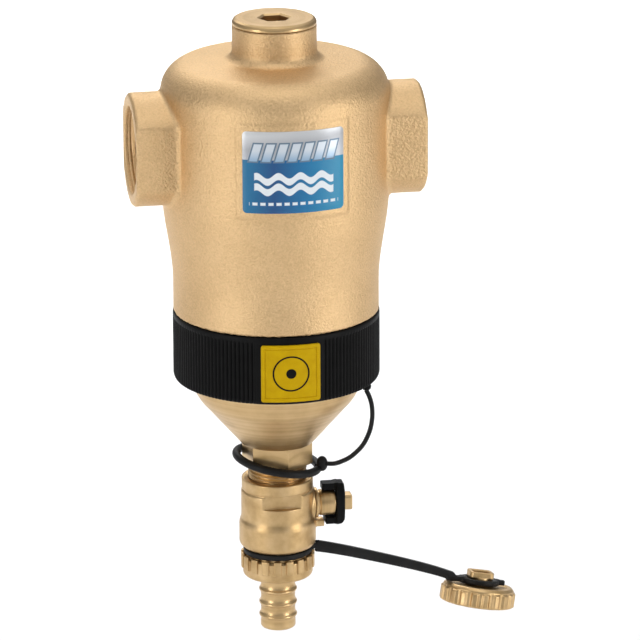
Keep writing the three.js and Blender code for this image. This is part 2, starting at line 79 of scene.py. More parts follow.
def place_camera():
    """The photograph's view: a long lens, 17 degrees above and 10 degrees towards -X."""
    focal, distance = 307.5, 2.0662
    azimuth, elevation, roll = (radians(a) for a in (-10.11, 17.37, 0.244))
    aside, upward = 0.0170, -0.0672
    back = Vector((sin(azimuth) * cos(elevation),
                   -cos(azimuth) * cos(elevation), sin(elevation)))
    right = Vector((cos(azimuth), sin(azimuth), 0))
    up = back.cross(right)
    tilted_right = right * cos(roll) - up * sin(roll)
    tilted_up = right * sin(roll) + up * cos(roll)
    data = bpy.data.cameras.new("camera")
    data.lens = focal
    data.sensor_width = 36
    data.clip_start, data.clip_end = 0.05, 20
    camera = new_object("camera", data)
    turn = Matrix((tilted_right, tilted_up, back)).transposed()
    camera.matrix_world = Matrix.Translation(back * distance + tilted_right * aside + tilted_up * upward) \
        @ turn.to_4x4()
    scene.camera = camera


def area_light(name, place, target, size, power, beam=180):
    data = bpy.data.lights.new(name, "AREA")
    data.shape = "RECTANGLE"
    data.size, data.size_y = size
    data.energy = power
    data.spread = radians(beam)
    light = new_object(name, data)
    light.location = place
    light.rotation_euler = (Vector(place) - Vector(target)).to_track_quat("Z", "Y").to_euler()


def light_stage():
    scene.view_settings.view_transform = "Standard"
    centre = (0, 0, -0.07)
    area_light("box_left", (-0.95, -0.6, -0.05), centre, (0.25, 0.9), 4.5)
    area_light("box_right", (0.85, -0.72, -0.05), centre, (0.25, 0.9), 5.3)
    area_light("top_back", (-0.1, 1.25, 0.8), centre, (1.5, 0.8), 3.0)
    area_light("overhead", (0.0, -0.2, 1.2), centre, (0.9, 0.45), 2.2)
    area_light("floor_wash", (0.0, 2.3, 1.5), (0, 1.2, -0.26), (1.6, 0.6), 9.0, beam=55)
    world = bpy.data.worlds.new("studio")
    scene.world = world
    world.use_nodes = True
    tree = world.node_tree
    tree.nodes.clear()
    # the background is white, and its light is bright overhead and dimmer towards the horizon
    seen = node(tree, "Background", Color=(1, 1, 1, 1), Strength=1.0)
    height = axes(tree, "Generated")[2]
    lit = node(tree, "Background", Color=(0.97, 0.98, 1.0, 1),
               Strength=spread(height, 0.27, 0.88, 0.3, 0.95))
    mix = node(tree, "MixShader", Fac=node(tree, "LightPath").outputs["Is Camera Ray"])
    for slot, source in ((1, lit), (2, seen)):
        tree.links.new(source.outputs[0], mix.inputs[slot])
    node(tree, "OutputWorld", Surface=mix.outputs[0])
    half, gap = 3, 0.06
    corners = [(-half, -half, 0), (half, -half, 0), (half, half, 0), (-half, half, 0)]
    floor = mesh_object("floor", corners, [(0, 1, 2, 3)], scale=1)
    floor.location = (0, 0, cad_low.z - gap)
    floor.data.materials.append(stage_material())


def stage_material():
    """Plain pale paper."""
    made, tree, shader = material("paper")
    paint(shader, grain(tree, 40, 2), (0.3, grey(0.93)), (0.7, grey(0.95)))
    shader.inputs["Roughness"].default_value = 0.9
    return made


# ---- mesh tools
def mesh_object(name, points, faces, scale=MM, crease=35):
    mesh = bpy.data.meshes.new(name)
    mesh.from_pydata([tuple(c * scale for c in p) for p in points], [], faces)
    mesh.validate()
    mesh.shade_smooth()
    mesh.set_sharp_from_angle(angle=radians(crease))
    return new_object(name, mesh)


def softened(outline, steps):
    """An outline of (r, z) or (r, z, corner radius), closed, with those corners rounded."""
    result = []
    for i, point in enumerate(outline):
        here = Vector(point[:2])
        wanted = point[2] if len(point) > 2 else 0
        if wanted == 0:
            result.append(tuple(here))
            continue
        before = Vector(outline[i - 1][:2]) - here
        after = Vector(outline[(i + 1) % len(outline)][:2]) - here
        half = before.angle(after) / 2
        reach = min(wanted / tan(half), before.length * 0.48, after.length * 0.48)
        radius = reach * tan(half)
        start, end = before.normalized() * reach, after.normalized() * reach
        centre = (before.normalized() + after.normalized()).normalized() * (radius / sin(half))
        first, last = (atan2(*(point - centre).yx) for point in (start, end))
        sweep = (last - first + pi) % (2 * pi) - pi
        for k in range(steps + 1):
            turn = first + sweep * k / steps
            result.append(tuple(here + centre + Vector((cos(turn), sin(turn))) * radius))
    return result


def arc(centre_r, centre_z, radius, first, last, steps):
    """Points (r, z) on a circle, between two angles in degrees."""
    angles = [radians(first + (last - first) * k / steps) for k in range(steps + 1)]
    return [(centre_r + radius * cos(a), centre_z + radius * sin(a)) for a in angles]


def turned(name, outline, segments, shape=None, place=None, crease=35):
    """A lathed piece from a closed (r, z) outline. shape(r, z, angle) may change each radius."""
    count = len(outline)
    angles = np.linspace(0, 2 * pi, segments, endpoint=False)
    r = np.array([p[0] for p in outline])[None, :]
    z = np.array([p[1] for p in outline])[None, :]
    radii = np.broadcast_to(r, (segments, count))
    if shape is not None:
        radii = shape(r, z, angles[:, None])
    points = np.stack([radii * np.cos(angles)[:, None], radii * np.sin(angles)[:, None],
                       np.broadcast_to(z, (segments, count))], -1).reshape(-1, 3)
    area = sum(a[0] * b[1] - b[0] * a[1] for a, b in zip(outline, [*outline[1:], outline[0]]))
    faces = []
    for s in range(segments):
        t = (s + 1) % segments
        for k in range(count):
            n = (k + 1) % count
            face = (s * count + k, t * count + k, t * count + n, s * count + n)
            faces.append(face if area > 0 else face[::-1])
    made = mesh_object(name, points, faces, crease=crease)
    weld(made)
    if place is not None:
        made.data.transform(place)
    return made


def weld(made):
    """Merges doubled points and drops collapsed faces, as at a lathe's axis."""
    distance = 1e-6
    work = bmesh.new()
    work.from_mesh(made.data)
    bmesh.ops.remove_doubles(work, verts=work.verts, dist=distance)
    bmesh.ops.dissolve_degenerate(work, edges=work.edges, dist=distance)
    work.to_mesh(made.data)
    work.free()


def joined(name, pieces):
    """Several meshes as one object."""
    bpy.ops.object.select_all(action="DESELECT")
    for other in pieces[1:]:
        other.select_set(True)
    pieces[0].select_set(True)
    bpy.context.view_layer.objects.active = pieces[0]
    bpy.ops.object.join()
    pieces[0].name = name
    bpy.ops.object.select_all(action="DESELECT")
    return pieces[0]


# ---- solids from distance fields
def blend_min(a, b, width):
    """Two solids as one, the corner between them filled over a width."""
    h = np.clip(0.5 + 0.5 * (b - a) / width, 0, 1)
    return b + (a - b) * h - width * h * (1 - h)


def blend_max(a, b, width):
    """What two solids share, its edge rounded over a width."""
    return -blend_min(-a, -b, width)


def bore(distance, radius, along, start):
    """A round hole that runs on past start; distance is measured from its axis."""
    return maximum(distance - radius, start - along)


def emptied(solid, *holes):
    return maximum(solid, -minimum.reduce(holes))


def outline_field(outline, cell=0.15, margin=6):
    """Signed distance to a closed outline of (r, z), negative inside, read from a fine table."""
    corners = np.array(outline, float)
    low, high = corners.min(0) - margin, corners.max(0) + margin
    counts = np.ceil((high - low) / cell).astype(int) + 1
    r, z = np.meshgrid(*(a + cell * np.arange(n) for a, n in zip(low, counts)), indexing="ij")
    nearest = np.full(r.shape, 1e9)
    inside = np.zeros(r.shape, bool)
    for (ar, az), (br, bz) in zip(corners, np.roll(corners, -1, 0)):
        er, ez = br - ar, bz - az
        length = er * er + ez * ez
        if length == 0:
            continue
        t = np.clip(((r - ar) * er + (z - az) * ez) / length, 0, 1)
        nearest = minimum(nearest, (r - ar - t * er) ** 2 + (z - az - t * ez) ** 2)
        if ez != 0:
            crosses = ((az > z) != (bz > z)) & (r < er * (z - az) / ez + ar)
            inside ^= crosses
    table = np.sqrt(nearest) * np.where(inside, -1, 1)

    def field(radius, height):
        u = np.clip((radius - low[0]) / cell, 0, counts[0] - 1.001)
        v = np.clip((height - low[1]) / cell, 0, counts[1] - 1.001)
        i, j = u.astype(int), v.astype(int)
        u, v = u - i, v - j
        return (table[i, j] * (1 - u) * (1 - v) + table[i + 1, j] * u * (1 - v)
                + table[i, j + 1] * (1 - u) * v + table[i + 1, j + 1] * u * v)
    return field


def box_field(x, y, z, centre, half):
    dx, dy, dz = (abs(c - m) - h for c, m, h in zip((x, y, z), centre, half))
    outside = np.sqrt(maximum(dx, 0) ** 2 + maximum(dy, 0) ** 2 + maximum(dz, 0) ** 2)
    return outside + minimum(maximum(maximum(dx, dy), dz), 0)


def field_mesh(name, field, low, high, step):
    """A closed mesh of the surface where field is zero: one point in each cell it crosses."""
    counts = [int(ceil((b - a) / step)) + 1 for a, b in zip(low, high)]
    axes = [a + step * np.arange(n) for a, n in zip(low, counts)]
    values = np.empty(counts)
    for i, x in enumerate(axes[0]):
        y, z = np.meshgrid(axes[1], axes[2], indexing="ij")
        values[i] = field(np.full(y.shape, x), y, z)
    solid = values < 0
    corners = [(a, b, c) for a in (0, 1) for b in (0, 1) for c in (0, 1)]
    size = tuple(n - 1 for n in counts)

    def cells(array, corner):
        return array[tuple(slice(c, c + n) for c, n in zip(corner, size))]

    filled = sum(cells(solid, c).astype(np.int8) for c in corners)
    mixed = (filled > 0) & (filled < 8)
    index = np.full(size, -1, np.int64)
    index[mixed] = np.arange(mixed.sum())
    origin = np.argwhere(mixed)
    total, weight = np.zeros((len(origin), 3)), np.zeros(len(origin))
    for a in corners:
        for axis in range(3):
            if a[axis]:
                continue
            b = tuple(1 if k == axis else a[k] for k in range(3))
            va, vb = cells(values, a)[mixed], cells(values, b)[mixed]
            cut = (va < 0) != (vb < 0)
            share = np.where(cut, va / np.where(cut, va - vb, 1), 0)
            spot = np.array(a, float) + share[:, None] * (np.array(b) - np.array(a))
            total += spot * cut[:, None]
            weight += cut
    points = np.array(low) + (origin + total / weight[:, None]) * step
    faces = []
    for axis in range(3):
        others = [k for k in range(3) if k != axis]
        tail, head = (tuple(part if k == axis else slice(None) for k in range(3))
                      for part in (slice(0, -1), slice(1, None)))
        spots = np.argwhere(solid[tail] != solid[head])
        spots = spots[np.all([(spots[:, k] > 0) & (spots[:, k] < size[k]) for k in others], axis=0)]
        ring = []
        for du, dv in ((0, 0), (-1, 0), (-1, -1), (0, -1)):
            cell = spots.copy()
            cell[:, others[0]] += du
            cell[:, others[1]] += dv
            ring.append(index[tuple(cell.T)])
        quads = np.stack(ring, 1)
        flip = solid[tuple(spots.T)] == (axis == 1)
        quads[flip] = quads[flip][:, ::-1]
        faces.append(quads)
    faces = np.concatenate(faces)
    points = settle(points, field, step)
    return mesh_object(name, points, faces.tolist(), crease=180)


def settle(points, field, step):
    """Moves points along the field's slope until they lie on its surface."""
    tiny, rounds = 0.02, 3
    for _ in range(rounds):
        value = field(*points.T)
        slope = np.stack([(field(*(points + tiny * e).T) - field(*(points - tiny * e).T)) / (2 * tiny)
                          for e in np.eye(3)], 1)
        size = maximum((slope ** 2).sum(1), 0.25)
        move = -value[:, None] * slope / size[:, None]
        length = np.linalg.norm(move, axis=1)
        move *= minimum(1, 0.6 * step / maximum(length, 1e-9))[:, None]
        points = points + move
    return points


# ---- materials
def feed(socket, value):
    """Gives an input a number, a colour or another node's output."""
    if isinstance(value, bpy.types.NodeSocket):
        socket.id_data.links.new(value, socket)
    else:
        socket.default_value = value


def node(tree, kind, **inputs):
    made = tree.nodes.new("ShaderNode" + kind)
    for key, value in inputs.items():
        feed(made.inputs[key.replace("_", " ")], value)
    return made


def axes(tree, space="Object"):
    """The x, y and z outputs of a texture coordinate."""
    return node(tree, "SeparateXYZ", Vector=node(tree, "TexCoord").outputs[space]).outputs


def calc(operation, *values):
    """A Math node's result; each value is a number or a socket, and one at least is a socket."""
    tree = next(value for value in values if isinstance(value, bpy.types.NodeSocket)).id_data
    made = tree.nodes.new("ShaderNodeMath")
    made.operation = operation
    for socket, value in zip(made.inputs, values):
        feed(socket, value)
    return made.outputs[0]


plus, minus, times, most = (partial(calc, kind) for kind in ("ADD", "SUBTRACT", "MULTIPLY", "MAXIMUM"))


def ramp(factor, stops):
    """Colours between stops of (place, colour)."""
    made = node(factor.id_data, "ValToRGB", Fac=factor)
    while len(made.color_ramp.elements) < len(stops):
        made.color_ramp.elements.new(0.5)
    for element, (place, colour) in zip(made.color_ramp.elements, stops):
        element.position = place
        element.color = (*colour, 1)
    return made.outputs["Color"]


def spread(factor, low, high, from_low=0.3, from_high=0.7):
    """A number that follows factor between two values."""
    return node(factor.id_data, "MapRange", Value=factor, From_Min=from_low, From_Max=from_high,
                To_Min=low, To_Max=high).outputs[0]


def grain(tree, size, detail=3, rough=0.55):
    """Noise whose features are about size millimetres, in the piece's own coordinates."""
    return node(tree, "TexNoise", Vector=node(tree, "TexCoord").outputs["Object"], Scale=1000 / size,
                Detail=detail, Roughness=rough).outputs["Fac"]


def material(name, metallic=0.0):
    made = bpy.data.materials.new(name)
    made.use_nodes = True
    shader = made.node_tree.nodes["Principled BSDF"]
    shader.inputs["Metallic"].default_value = metallic
    return made, made.node_tree, shader


def relief(shader, *layers):
    """Bump from layers of (height socket, depth in millimetres), each over the one before."""
    under = {}
    for height, depth in layers:
        bump = node(shader.id_data, "Bump", Height=height, Distance=depth * MM, **under)
        under = {"Normal": bump.outputs[0]}
    feed(shader.inputs["Normal"], bump.outputs[0])


def paint(shader, factor, *stops):
    feed(shader.inputs["Base Color"], ramp(factor, stops))


def roughen(shader, factor, low, high):
    feed(shader.inputs["Roughness"], spread(factor, low, high))


def grey(value):
    return (value,) * 3


def cast_brass_material():
    """Sandblasted brass: fine peened grain, soft lustre, faint cloudy colour."""
    made, tree, shader = material("cast_brass", 1.0)
    cloud = grain(tree, 14, 3)
    fine = grain(tree, 0.8, 2, rough=0.65)
    mottle = plus(times(cloud, 0.2), times(fine, 0.8))
    paint(shader, mottle, (0.34, (0.65, 0.442, 0.226)), (0.5, (0.73, 0.51, 0.273)),
          (0.66, (0.8, 0.572, 0.319)))
    roughen(shader, fine, 0.46, 0.6)
    # the wrench flats, beyond these distances from the middle, were left rougher than the rest
    x, y, _ = axes(tree)
    beyond_x, beyond_y = 0.0395, 0.0176
    flats = times(calc("GREATER_THAN", calc("ABSOLUTE", x), beyond_x),
                  calc("GREATER_THAN", calc("ABSOLUTE", y), beyond_y))
    coarse = times(grain(tree, 1.0, 2), flats)
    relief(shader, (fine, 0.2), (grain(tree, 1.6, 2), 0.14), (coarse, 0.6))
    return made


def tool_lines(tree, size, along_x):
    """Noise that runs round a turned piece: it changes with the radius and along the axis only."""
    x, y, z = axes(tree)
    if along_x:
        x, y, z = y, minus(z, STEM_Z * MM), x
    radius = calc("SQRT", plus(times(x, x), times(y, y)))
    spot = plus(times(radius, 0.7), z)
    made = node(tree, "TexNoise", Scale=1000 / size, Detail=3)
    made.noise_dimensions = "1D"
    feed(made.inputs["W"], spot)
    return made.outputs["Fac"]


def turned_brass_material(name, along_x=False):
    """Machined brass: fine tool lines round the piece, brighter than the casting."""
    made, tree, shader = material(name, 1.0)
    lines = tool_lines(tree, 0.25, along_x)
    shade = plus(times(grain(tree, 9, 3), 0.5), times(tool_lines(tree, 2.5, along_x), 0.5))
    paint(shader, shade, (0.3, (0.5, 0.333, 0.149)), (0.5, (0.62, 0.426, 0.211)),
          (0.7, (0.7, 0.504, 0.268)))
    roughen(shader, lines, 0.3, 0.42)
    relief(shader, (lines, 0.006), (grain(tree, 0.5, 2), 0.006))
    return made


def forged_brass_material():
    """The drain valve's hot-pressed brass: a fine skin with small dents."""
    made, tree, shader = material("forged_brass", 1.0)
    cloud = grain(tree, 6, 4)
    fine = grain(tree, 0.35, 3)
    paint(shader, cloud, (0.3, (0.49, 0.322, 0.144)), (0.5, (0.6, 0.411, 0.201)),
          (0.7, (0.68, 0.484, 0.258)))
    roughen(shader, fine, 0.34, 0.48)
    relief(shader, (fine, 0.02), (grain(tree, 1.6, 2), 0.03))
    return made


def plastic_material(name, dark, pale, rough, skin=0.3, depth=0.01, metallic=0.0, gloss=0.5):
    """Moulded plastic or rubber: spark-eroded skin and a slight change of tone and gloss."""
    made, tree, shader = material(name, metallic)
    fine = grain(tree, skin, 2)
    paint(shader, grain(tree, 5, 3), (0.3, dark), (0.7, pale))
    roughen(shader, fine, *rough)
    shader.inputs["Specular IOR Level"].default_value = gloss
    relief(shader, (fine, depth), (grain(tree, 3, 2), depth * 2))
    return made


def mesh_steel_material():
    """Woven stainless mesh, a wire every 0.8 mm."""
    made, tree, shader = material("mesh_steel", 0.9)
    wires_round, radians_per_metre = 208, 7854
    x, y, z = axes(tree)
    warp = calc("SINE", times(calc("ARCTAN2", y, x), wires_round))
    weft = calc("SINE", times(z, radians_per_metre))
    wires = most(warp, weft)
    paint(shader, wires, (0.2, grey(0.03)), (0.55, grey(0.5)))
    roughen(shader, grain(tree, 0.4), 0.3, 0.45)
    relief(shader, (wires, 0.1))
    return made


LABEL_R = 43.75
LABEL_HALF = 19.75
LABEL_LOW, LABEL_HIGH = -15.5, 16.0


def label_material():
    """Foil label: silver above, blue below, with plain marks in place of its lettering."""
    made, tree, shader = material("label_foil", 0.0)
    x, y, z = axes(tree)
    # millimetres round the belly from its front, and above the port axis
    across = times(calc("ARCTAN2", x, times(y, -1)), LABEL_R)
    high = times(z, 1000)

    def within(distance):
        """1 where a distance is negative, with a soft edge."""
        soft = 0.12
        scaled = plus(times(distance, -0.5 / soft), 0.5)
        return node(tree, "Clamp", Value=scaled).outputs[0]

    def from_line(value, centre, half):
        """Distance outside a stripe of half width half."""
        return minus(calc("ABSOLUTE", minus(value, centre)), half)

    def over(below, above, mask):
        """One colour over another where mask is 1; above is an output or a plain colour."""
        mixed = node(tree, "Mix")
        mixed.data_type = "RGBA"
        above = (*above, 1) if isinstance(above, tuple) else above
        for slot, value in ((0, mask), (6, below), (7, above)):
            feed(mixed.inputs[slot], value)
        return mixed.outputs[2]

    spot = spread(across, 0, 1, -LABEL_HALF, LABEL_HALF)
    blue = ramp(spot, [(0.0, (0.006, 0.17, 0.34)), (0.3, (0.01, 0.075, 0.22)), (0.6, (0.004, 0.16, 0.36)),
                       (1.0, (0.003, 0.27, 0.46))])
    split = 5.1
    upper = within(minus(split, high))
    fade = spread(plus(high, times(across, -0.12)), 0, 1, split, LABEL_HIGH)
    silver = ramp(fade, [(0.0, (0.5, 0.52, 0.55)), (0.55, (0.42, 0.43, 0.45)), (1.0, (0.66, 0.67, 0.68))])
    colour = over(blue, silver, upper)

    # a row of slanted outlined blocks
    row, block_pitch, block_half, block_side, outline, slope = 7.9, 4.9, 3.6, 1.8, 0.28, 0.3
    slanted = minus(across, times(minus(high, row), slope))
    cell = calc("WRAP", slanted, block_pitch / 2, -block_pitch / 2)
    block = most(from_line(cell, 0, block_side), from_line(high, row, block_half))
    block = most(block, from_line(slanted, 0, 3.5 * block_pitch))
    inner = spread(high, 0, 1, row - block_half, row + block_half)
    inner = ramp(inner, [(0.0, (0.25, 0.42, 0.6)), (0.6, (0.66, 0.72, 0.78))])
    colour = over(colour, inner, within(block))
    colour = over(colour, (0.12, 0.19, 0.27), within(from_line(block, 0, outline)))

    # two white waves, and a dashed line below them
    white = (0.78, 0.82, 0.85)
    wave_length, wave_height, wave_thick, wave_end = 8.2, 1.1, 1.35, 15.2
    for middle in (-2.2, -6.2):
        wave = calc("SINE", times(across, 2 * pi / wave_length))
        wave = times(wave, wave_height)
        stroke = from_line(minus(high, wave), middle, wave_thick)
        stroke = most(stroke, from_line(across, 0, wave_end))
        colour = over(colour, white, within(stroke))
    dash_reach, dash_half, dash_row, dash_thick, dash_end = 1.5, 0.95, -11.8, 0.55, 17.2
    dash = from_line(calc("WRAP", across, dash_reach, -dash_reach), 0, dash_half)
    dash = most(dash, from_line(high, dash_row, dash_thick))
    dash = most(dash, from_line(across, 0, dash_end))
    colour = over(colour, white, within(dash))
    feed(shader.inputs["Base Color"], colour)
    roughen(shader, grain(tree, 0.8), 0.3, 0.42)
    feed(shader.inputs["Metallic"], times(upper, 0.35))
    relief(shader, (grain(tree, 2.5, 2), 0.01))
    return made


def plate_material():
    """The ring plate's satin yellow plastic."""
    made, tree, shader = material("plate_yellow")
    fine = grain(tree, 0.3, 2)
    paint(shader, grain(tree, 4, 3), (0.3, (0.51, 0.31, 0.001)), (0.7, (0.58, 0.37, 0.002)))
    roughen(shader, fine, 0.36, 0.48)
    shader.inputs["Specular IOR Level"].default_value = 0.08
    relief(shader, (fine, 0.008))
    return made


# ---- cast body
BELLY_R, SKIRT_R, BOSS_R = 43.2, 39.2, 16.0
BODY_LOW, BOSS_TOP = -65.0, 46.1
PORT_R, PORT_FLAT, PORT_HALF, THREAD_R, THREAD_ROOT = 21.6, 17.8, 55.5, 15.2, 16.5
PAD_R = 43.5


def body_outline():
    """The bell's outside: skirt, taper, belly, shoulder, fillet and boss."""
    taper_low, taper_high = -54.0, -16.0
    shoulder_r, shoulder_z, fillet_r, fillet_z, sweep = 11.4, 20.6, 3.8, 36.7, 85
    taper = [(SKIRT_R + (BELLY_R - SKIRT_R) * (1 - cos(pi * t)) / 2,
              taper_low + (taper_high - taper_low) * t) for t in np.linspace(0, 1, 20)]
    return [(0, BODY_LOW), (SKIRT_R, BODY_LOW), *taper,
            *arc(BELLY_R - shoulder_r, shoulder_z, shoulder_r, 0, sweep, 20),
            *arc(BOSS_R + fillet_r, fillet_z, fillet_r, 180 + sweep, 180, 12),
            (BOSS_R, BOSS_TOP), (0, BOSS_TOP)]


def cavity_outline():
    return [(0, BODY_LOW - 3), (33.6, BODY_LOW - 3), (33.6, -50), (35.0, -48), (39.0, -16),
            *arc(30, 18, 9, 0, 84, 10), (0, 29.5)]


def main_body():
    shell = outline_field(body_outline())
    cavity = outline_field(cavity_outline())
    pad_half, pad_edge, pad_root, mm_per_radian = radians(28.9), 2.3, 38, 40
    port_bevel, mouth_bevel, port_start, thread_start = 1.0, 1.8, 30, 40

    def field(x, y, z):
        r, across = hypot(x, y), hypot(y, z)
        port = blend_max(across - PORT_R, abs(y) - PORT_FLAT, 0.5)
        port = blend_max(port, abs(x) - PORT_HALF, 0.5)
        port = maximum(port, (across + abs(x) - PORT_R - PORT_HALF + port_bevel) * SLANT)
        solid = blend_min(shell(r, z), port, 1.8)
        turn = np.arctan2(x, -y)
        pad = maximum(LABEL_LOW - pad_edge - z, z - LABEL_HIGH - pad_edge)
        pad = maximum((abs(turn) - pad_half) * mm_per_radian, pad)
        pad = blend_max(pad, r - PAD_R, 0.3)
        solid = blend_min(solid, maximum(pad, pad_root - r), 0.8)
        mouth = (across + PORT_HALF - abs(x) - THREAD_R - mouth_bevel) * SLANT
        return emptied(solid, cavity(r, z), bore(across, THREAD_R, abs(x), port_start),
                       bore(across, THREAD_ROOT, abs(x), thread_start), mouth,
                       bore(r, 10.3, z, 20), bore(r, 12.8, z, 43.7))

    body = field_mesh("cast_body", field, (-56.5, -45, -66), (56.5, 45, 48), 0.75)
    pitch_11_per_inch = 2.309
    sleeves = [thread_sleeve(THREAD_R, THREAD_ROOT + 0.3, 40.2, 53.6, pitch_11_per_inch, inside=True)
               for _ in range(2)]
    for sleeve, turn in zip(sleeves, (90, -90)):
        sleeve.data.transform(Matrix.Rotation(radians(turn), 4, "Y"))
    return joined("cast_body", [body, *sleeves])


def thread_wave(z, angle, pitch):
    """The height of a rounded 55 degree thread, 0 at its crest to 1 at its root."""
    phase = np.mod(z / pitch + angle / (2 * pi), 1)
    return np.clip(abs(phase - 0.5) * 2.5 - 0.12, 0, 1)


def thread_sleeve(crest, root, low, high, pitch, inside):
    """A threaded tube: crest is the radius at the thread's tips, root the far side of its wall."""
    spacing = 0.22
    wall = [(root, low), (root, high)]
    threaded = [(crest, z) for z in np.linspace(low, high, int((high - low) / spacing))]
    outline = [*wall, *reversed(threaded)] if inside else [*reversed(wall), *threaded]
    deep = abs(root - crest) * 0.8 * (1 if inside else -1)

    def shape(r, z, angle):
        on_thread = abs(r - crest) < 1e-6
        fade = np.clip(minimum(z - low, high - z) / pitch, 0, 1)
        lift = 1 - (1 - thread_wave(z, angle, pitch)) * fade
        return np.where(on_thread, r + deep * lift, r + 0 * angle)

    return turned("thread", outline, 96, shape)


# ---- top plug
def six_sided(angle, turn):
    """Corner factor of a hexagon, 1 at the middle of each side."""
    return 1 / np.cos(np.mod(angle - turn + pi / 6, pi / 3) - pi / 6)


def top_plug():
    shank, seat, top, socket, socket_floor = 10, 46.35, 48.7, 5.0, 41.5
    outline = softened([(0, 33), (shank, 33, 0.8), (shank, seat), (BOSS_R, seat, 0.2), (BOSS_R, 47.3, 0.6),
                        (15.5, 48.2, 0.5), (14.6, top, 0.05), (socket + 0.8, top, 0.1), (socket, 48.1),
                        (socket, socket_floor), (0, 40.4)], 6)

    def shape(r, z, angle):
        in_socket = (r < socket + 0.95) & (z > socket_floor - 0.1)
        return np.where(in_socket, r * six_sided(angle, pi / 6), r + 0 * angle)

    return turned("plug", outline, 192, shape)


# ---- dirt chamber
def dirt_chamber():
    """The bowl: plain turned wall, funnel, hexagon neck and threaded spigot."""
    neck_low, neck_high, corner_r, end_r = -127.3, -118.6, 13.8, 14.1
    neck_turn, neck_foot = radians(-111.67), 13.5
    thread_low, thread_high, thread_pitch, thread_r, thread_depth = -132.8, -127.7, 1.4, 11.3, 0.75
    wall_r, inner_r, bottom, top, funnel_r = 33.2, 30, -138, -51, 20
    thread = [(thread_r, z) for z in np.arange(thread_low, thread_high, 0.1)]
    neck = [(corner_r, z) for z in np.linspace(neck_low + 0.4, neck_high, 24)]
    neck_end = [(end_r + out, neck_high + up) for out, up in ((-0.1, 0.05), (0.1, 0.25), (0.45, 0.65))]
    groove = [(wall_r, -57.6), (30.9, -57.6), (30.9, -54.8), (wall_r, -54.8)]
    inside = [(inner_r, top), (inner_r, -90), (24.6, -102.9), (8, -119.5), (8, bottom)]
    outline = [(10.8, bottom), (10.8, -132.9), *thread, (10.9, -127.5), (10.9, neck_low), (neck_foot, neck_low),
               *neck, *neck_end, *arc(13.2, -89, funnel_r, -45, 0, 30), *groove, (wall_r, top), *inside]

    def shape(r, z, angle):
        flat = corner_r * cos(pi / 6) * six_sided(angle, neck_turn)
        chamfer = neck_foot + (z - neck_low) * 1.4
        on_neck = (r > neck_foot - 0.1) & (r < corner_r + 0.01) & (z <= neck_high + 0.01)
        on_thread = (abs(r - thread_r) < 1e-6) & (z >= thread_low - 1e-6)
        result = np.where(on_neck, minimum(minimum(flat, corner_r), chamfer), r + 0 * angle)
        return np.where(on_thread, r - thread_depth * thread_wave(z, angle, thread_pitch), result)

    return turned("chamber", outline, 216, shape, crease=28)


# ---- magnet ring
RING_R, RING_BORE_R, RING_TOP, RING_LOW = 39.5, 33.6, -65.4, -91.8
PLATE_FACING, PLATE_HALF, PLATE_LOW, PLATE_HIGH = radians(-1.7), 11.25, -90.4, -68.1


def ring_shell():
    """The ribbed moulding: a channel with fine upright ribs, smooth beside its plate."""
    ribs, rib_depth, wall, lip, smooth_margin = 148, 0.55, 2.0, 2.4, 2.2
    outline = softened([(RING_BORE_R, RING_LOW, 0.3), (RING_R - 0.5, RING_LOW, 1.1), (RING_R, RING_LOW + 1.6),
                        *[(RING_R, z) for z in np.linspace(RING_LOW + 1.9, RING_TOP - 2.3, 12)],
                        (RING_R, RING_TOP - 2.0), (RING_R, RING_TOP - 1.7), (RING_R - 0.1, RING_TOP, 0.6),
                        (RING_BORE_R, RING_TOP, 0.3),
                        (RING_BORE_R, RING_TOP - lip), (RING_R - wall, RING_TOP - lip),
                        (RING_R - wall, RING_LOW + lip), (RING_BORE_R, RING_LOW + lip)], 5)

    def shape(r, z, angle):
        outer = r > RING_R - 1.2
        aside = np.mod(angle + pi / 2 - PLATE_FACING + pi, 2 * pi) - pi
        smooth = abs(aside) * RING_R < PLATE_HALF + smooth_margin
        wave = 0.5 + 0.5 * np.cos(ribs * angle)
        groove = rib_depth * (1 - np.sqrt(np.clip(wave, 0, 1)))
        height = np.clip((RING_TOP - 1.8 - z) / 0.5, 0, 1)
        return r - np.where(outer & ~smooth, groove * height, 0)

    return turned("ribbed_ring", outline, ribs * 8, shape, crease=40)


def curved_panel(name, facing, half_width, low, high, corner, rings, bend):
    """A closed plate bent round Z. rings is (inset from the edge, radius), from its back to its face."""
    half_height, middle = (high - low) / 2, (high + low) / 2
    across, upright, quarter = 36, 14, 6
    rows = []
    for inset, radius in rings:
        w, h = max(half_width - inset, 1e-3), max(half_height - inset, 0)
        c = min(max(corner - inset, 0.0), h, w)
        row = []
        for sx, sz, first in ((1, -1, -90), (1, 1, 0), (-1, 1, 90), (-1, -1, 180)):
            row += arc(sx * (w - c), sz * (h - c), c, first, first + 90, quarter)
        full = []
        for i, here in enumerate(row):
            full.append(here)
            side, last = divmod(i, quarter + 1)
            if last == quarter:
                there = row[(i + 1) % len(row)]
                steps = across if side % 2 else upright
                full += [tuple(a + (b - a) * k / steps for a, b in zip(here, there)) for k in range(1, steps)]
        rows.append([(radius * sin(facing + u / bend), -radius * cos(facing + u / bend), middle + v)
                     for u, v in full])
    return lofted(name, rows)


def lofted(name, rows, closed=False):
    """A skin over rows of equally many points, each row a closed loop."""
    count = len(rows[0])
    faces = []
    for a in range(len(rows) if closed else len(rows) - 1):
        b = (a + 1) % len(rows)
        for k in range(count):
            n = (k + 1) % count
            faces.append((a * count + k, a * count + n, b * count + n, b * count + k))
    made = mesh_object(name, [p for row in rows for p in row], faces)
    weld(made)
    outward(made)
    return made


def outward(made):
    work = bmesh.new()
    work.from_mesh(made.data)
    bmesh.ops.recalc_face_normals(work, faces=work.faces)
    work.to_mesh(made.data)
    work.free()


